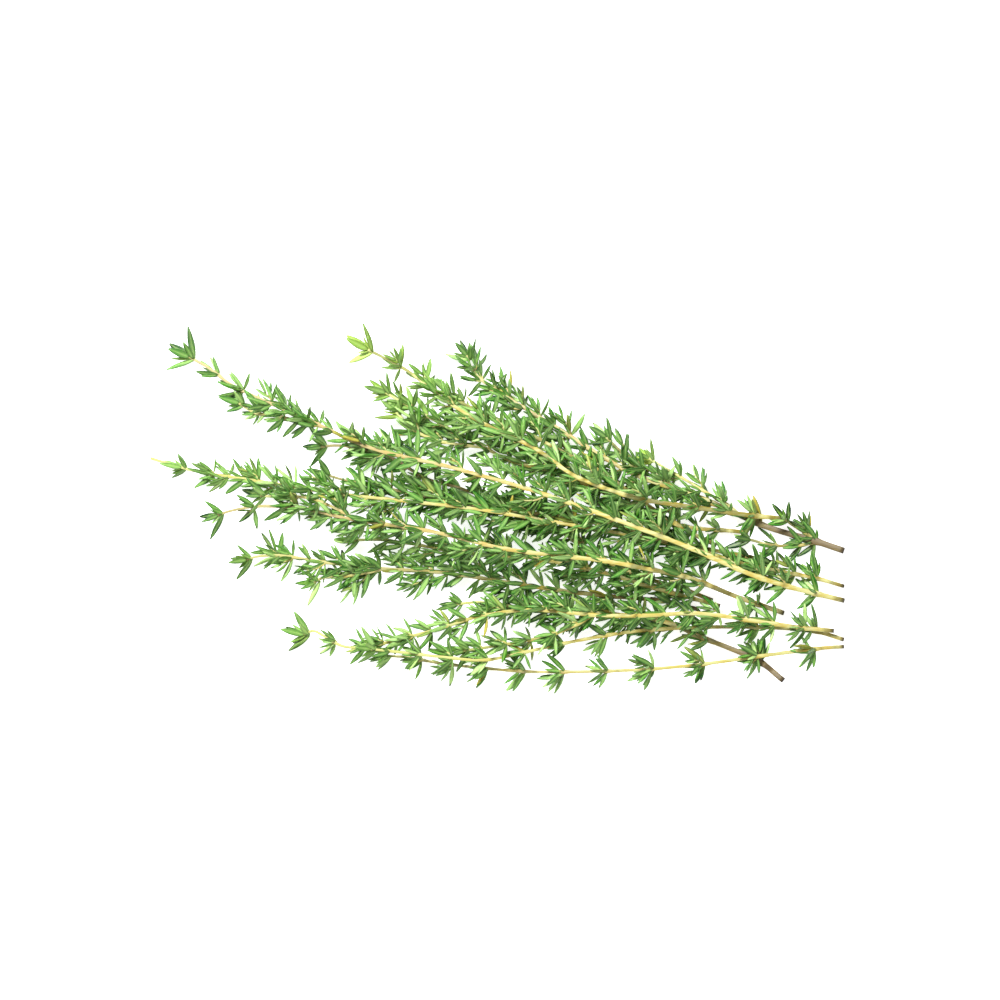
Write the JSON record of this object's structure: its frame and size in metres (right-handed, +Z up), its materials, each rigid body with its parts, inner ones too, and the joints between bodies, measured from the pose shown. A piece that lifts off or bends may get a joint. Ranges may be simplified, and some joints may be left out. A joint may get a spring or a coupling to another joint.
{
  "type": "thyme bundle",
  "caption": "Loose bundle of fresh cut thyme lying flat: thin square stems with small leaves in pairs, cut ends together and leafy tips fanned out.",
  "frame": {"origin": "middle of the bundle's footprint, on the surface it lies on", "axes": "+X along the bundle from the leafy tips to the cut ends, +Y across it in the plane of the table, +Z up"},
  "size_m": [0.1953, 0.1028, 0.0185],
  "materials": {
    "leaf": "satin",
    "young_leaf": "satin",
    "stem": "satin"
  },
  "bodies": {
    "root": {"sprig_01": "leaf", "sprig_02": "leaf", "sprig_03": "leaf", "sprig_04": "leaf", "sprig_05": "leaf", "sprig_06": "leaf", "sprig_07": "leaf", "sprig_08": "leaf", "sprig_09": "young_leaf", "sprig_10": "leaf", "sprig_11": "leaf", "sprig_12": "leaf", "sprig_13": "leaf", "sprig_14": "leaf", "sprig_15": "leaf"}
  },
  "joints": []
}
